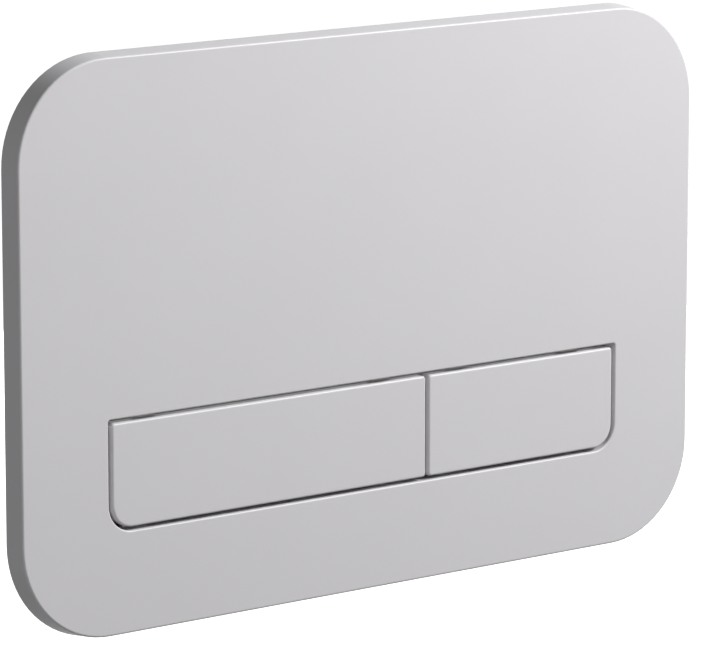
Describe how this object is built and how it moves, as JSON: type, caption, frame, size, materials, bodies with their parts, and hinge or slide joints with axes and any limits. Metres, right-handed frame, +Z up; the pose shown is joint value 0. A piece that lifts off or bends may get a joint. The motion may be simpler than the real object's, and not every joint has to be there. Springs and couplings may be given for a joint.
{
  "type": "flush button plate",
  "caption": "Wide satin grey dual-flush button plate with round corners, a long and a short rocker button, and its mounting frame and push rods.",
  "frame": {"origin": "middle of the front plate, on the plane where its rim meets the wall", "axes": "+X to the plate's right as seen from the front, +Y into the wall, +Z up"},
  "size_m": [0.245, 0.0771, 0.165],
  "materials": {
    "satin_grey": "satin",
    "frame_plastic": "moulded",
    "lever_plastic": "moulded",
    "rod_plastic": "moulded",
    "nut_plastic": "moulded",
    "stud_plastic": "moulded",
    "stop_rubber": "matte",
    "plated_steel": "plated",
    "spring_steel": "drawn wire"
  },
  "bodies": {
    "plate": {"front_plate": "satin_grey", "mounting_frame": "frame_plastic", "fixing_studs": "stud_plastic", "fixing_washers": "plated_steel", "fixing_nuts": "nut_plastic", "full_flush_hinge_pin": "plated_steel", "full_flush_return_spring": "spring_steel", "half_flush_hinge_pin": "plated_steel", "half_flush_return_spring": "spring_steel"},
    "full_flush_lever": {"full_flush_button": "satin_grey", "full_flush_rocker": "lever_plastic", "full_flush_buffers": "stop_rubber"},
    "full_flush_plunger": {"full_flush_push_rod": "rod_plastic", "full_flush_thrust_cap": "lever_plastic", "full_flush_lock_nut": "nut_plastic"},
    "half_flush_lever": {"half_flush_button": "satin_grey", "half_flush_rocker": "lever_plastic", "half_flush_buffers": "stop_rubber"},
    "half_flush_plunger": {"half_flush_push_rod": "rod_plastic", "half_flush_thrust_cap": "lever_plastic", "half_flush_lock_nut": "nut_plastic"}
  },
  "joints": [
    {"name": "full_flush_press", "type": "hinge", "parent": "plate", "child": "full_flush_lever", "pos_m": [-0.03585, -0.002, -0.0159], "axis": [1, 0, 0], "range_deg": [0, 8], "stiffness_Nm_per_rad": 0.19, "springref_deg": -28.65},
    {"name": "full_flush_plunge", "type": "slide", "parent": "plate", "child": "full_flush_plunger", "axis": [0, 1, 0], "range_m": [0, 0.0035], "deforming": ["full_flush_return_spring"]},
    {"name": "half_flush_press", "type": "hinge", "parent": "plate", "child": "half_flush_lever", "pos_m": [0.0563, -0.002, -0.0159], "axis": [1, 0, 0], "range_deg": [0, 8], "stiffness_Nm_per_rad": 0.19, "springref_deg": -28.65},
    {"name": "half_flush_plunge", "type": "slide", "parent": "plate", "child": "half_flush_plunger", "axis": [0, 1, 0], "range_m": [0, 0.0035], "deforming": ["half_flush_return_spring"]}
  ],
  "couplings": [
    {"joint": "full_flush_plunge", "follows": "full_flush_press", "m_per_rad": 0.025},
    {"joint": "half_flush_plunge", "follows": "half_flush_press", "m_per_rad": 0.025}
  ]
}
